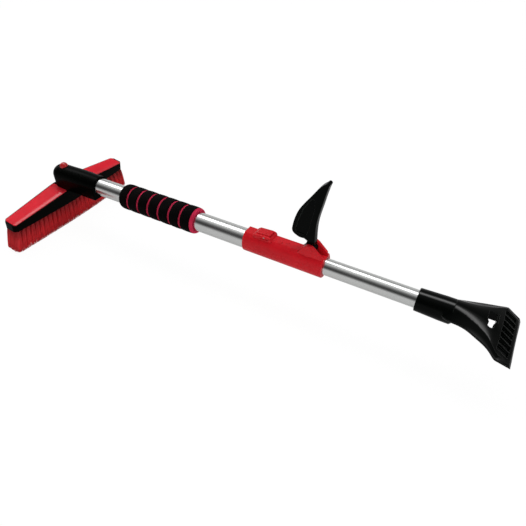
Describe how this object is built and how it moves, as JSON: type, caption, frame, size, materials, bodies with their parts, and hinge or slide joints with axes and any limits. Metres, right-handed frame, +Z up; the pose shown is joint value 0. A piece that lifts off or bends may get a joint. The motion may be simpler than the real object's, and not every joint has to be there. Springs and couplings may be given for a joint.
{
  "type": "telescoping snow broom with ice scraper",
  "caption": "Car snow broom and ice scraper: swivelling bristle head, foam grip on a telescoping tube with rocker and cam-lever locks, and a flared scraper blade at the far end.",
  "frame": {"origin": "the middle of the bounding box in X and Y, on the level of the lowest bristle tips", "axes": "+X along the tubes from the brush head to the scraper blade, +Y to the left when looking along +X, +Z up, with the bristles pointing down. The tube axis runs along X at Y 0, Z 0.0836"},
  "size_m": [0.7403, 0.2484, 0.2068],
  "materials": {
    "aluminium_tube": "polished drawn aluminium tube",
    "housing_black": "satin black moulded plastic with fine grain",
    "block_black": "satin black moulded plastic",
    "cover_red": "glossy red moulded plastic",
    "bristle_red": "dark red drawn bristle bundles",
    "button_red": "glossy red moulded plastic",
    "collar_red": "semi-gloss red moulded plastic",
    "foam_black": "closed-cell black foam, matte and finely pored",
    "foam_red": "closed-cell dark red foam",
    "lever_black": "semi-gloss black moulded plastic",
    "scraper_black": "glossy black moulded plastic",
    "steel": "zinc-plated steel",
    "spring_steel": "drawn spring steel",
    "liner_plastic": "natural acetal plastic"
  },
  "bodies": {
    "handle": {"outer_tube": "aluminium_tube", "tube_bushing": "liner_plastic", "pivot_housing": "housing_black", "housing_screws": "steel", "retaining_ring": "spring_steel", "grip_core": "foam_red", "grip_bands": "foam_black", "lock_collar": "collar_red", "collar_rivets": "steel", "lever_pin": "steel", "rocker_pin": "steel", "button_spring": "spring_steel", "rocker_spring": "spring_steel"},
    "brush_head": {"brush_block": "block_black", "cover_near": "cover_red", "cover_far": "cover_red", "bristle_tufts": "bristle_red", "thrust_washer": "liner_plastic"},
    "release_button": {"brush_button": "button_red", "lock_crown": "liner_plastic", "crown_screw": "steel"},
    "telescope": {"inner_tube": "aluminium_tube", "tube_glide": "liner_plastic", "scraper_head": "scraper_black", "scraper_rivets": "steel"},
    "rocker": {"rocker_button": "collar_red", "lock_pin": "steel"},
    "lever": {"cam_lever": "lever_black"},
    "shoe": {"clamp_shoe": "liner_plastic"}
  },
  "joints": [
    {"name": "brush_pivot", "type": "hinge", "parent": "handle", "child": "brush_head", "pos_m": [-0.34, 0, 0.0836], "axis": [0.1736, 0, 0.9848], "range_deg": [-90, 90]},
    {"name": "brush_button", "type": "slide", "parent": "handle", "child": "release_button", "axis": [-0.1736, 0, -0.9848], "range_m": [0, 0.004], "stiffness_N_per_m": 900, "deforming": ["button_spring"]},
    {"name": "telescope_slide", "type": "slide", "parent": "handle", "child": "telescope", "axis": [1, 0, 0], "range_m": [0, 0.2]},
    {"name": "rocker_tilt", "type": "hinge", "parent": "handle", "child": "rocker", "pos_m": [0.048, 0, 0.1024], "axis": [0, 1, 0], "range_deg": [0, 8], "stiffness_Nm_per_rad": 0.6, "deforming": ["rocker_spring"]},
    {"name": "lever_fold", "type": "hinge", "parent": "handle", "child": "lever", "pos_m": [0.112, 0, 0.1056], "axis": [0, 1, 0], "range_deg": [0, 80]},
    {"name": "shoe_press", "type": "slide", "parent": "handle", "child": "shoe", "axis": [0, 0, -1], "range_m": [0, 0.0005]}
  ],
  "couplings": [
    {"joint": "shoe_press", "follows": "lever_fold", "m_per_rad": 0.00035}
  ]
}
